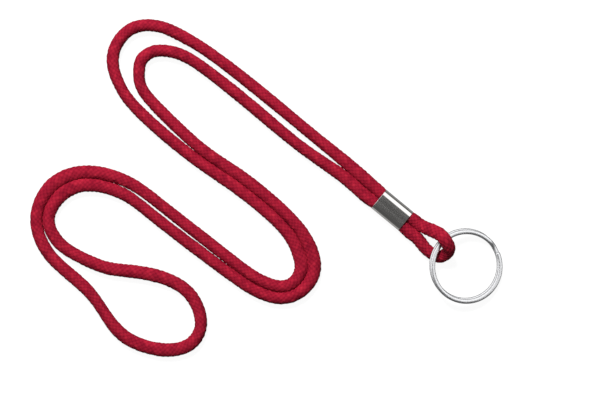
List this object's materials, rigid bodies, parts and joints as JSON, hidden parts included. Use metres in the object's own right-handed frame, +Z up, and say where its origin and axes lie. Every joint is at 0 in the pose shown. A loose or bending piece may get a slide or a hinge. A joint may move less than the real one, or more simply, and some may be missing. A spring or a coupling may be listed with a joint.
{
  "type": "neck lanyard",
  "caption": "Neck lanyard of round braided cord doubled into a long loop, held by a folded steel crimp, with a short loop that carries a split ring.",
  "frame": {"origin": "on the resting surface, under the middle of the whole lanyard as it lies folded flat", "axes": "+X towards the split ring end, +Y across the folded loop, +Z up from the resting surface"},
  "size_m": [0.1779, 0.1261, 0.011],
  "materials": {
    "braid": "tight round braid with a slight sheen",
    "filler": "undyed filler yarn",
    "crimp_steel": "satin nickel-plated sheet",
    "ring_steel": "polished nickel-plated wire"
  },
  "bodies": {
    "neck": {"neck_cord_sheath": "braid", "neck_cord_core": "filler"},
    "crimp": {"crimp_sleeve": "crimp_steel", "crimped_strand": "braid", "crimped_end_neck": "braid", "crimped_end_ring": "braid"},
    "loop": {"ring_loop_sheath": "braid", "ring_loop_core": "filler"},
    "ring": {"split_ring": "ring_steel"}
  },
  "joints": [
    {"name": "crimp_lift", "type": "hinge", "parent": "neck", "child": "crimp", "pos_m": [0.03768, -0.00014, 0.0044], "axis": [-0.6361, -0.7716, 0], "range_deg": [0, 60]},
    {"name": "loop_lift", "type": "hinge", "parent": "crimp", "child": "loop", "pos_m": [0.05635, -0.01553, 0.0044], "axis": [-0.6361, -0.7716, 0], "range_deg": [0, 60]},
    {"name": "ring_swing", "type": "hinge", "parent": "loop", "child": "ring", "pos_m": [0.06265, -0.02453, 0.00581], "axis": [-0.6496, -0.7332, 0.2013], "range_deg": [0, 135]}
  ]
}
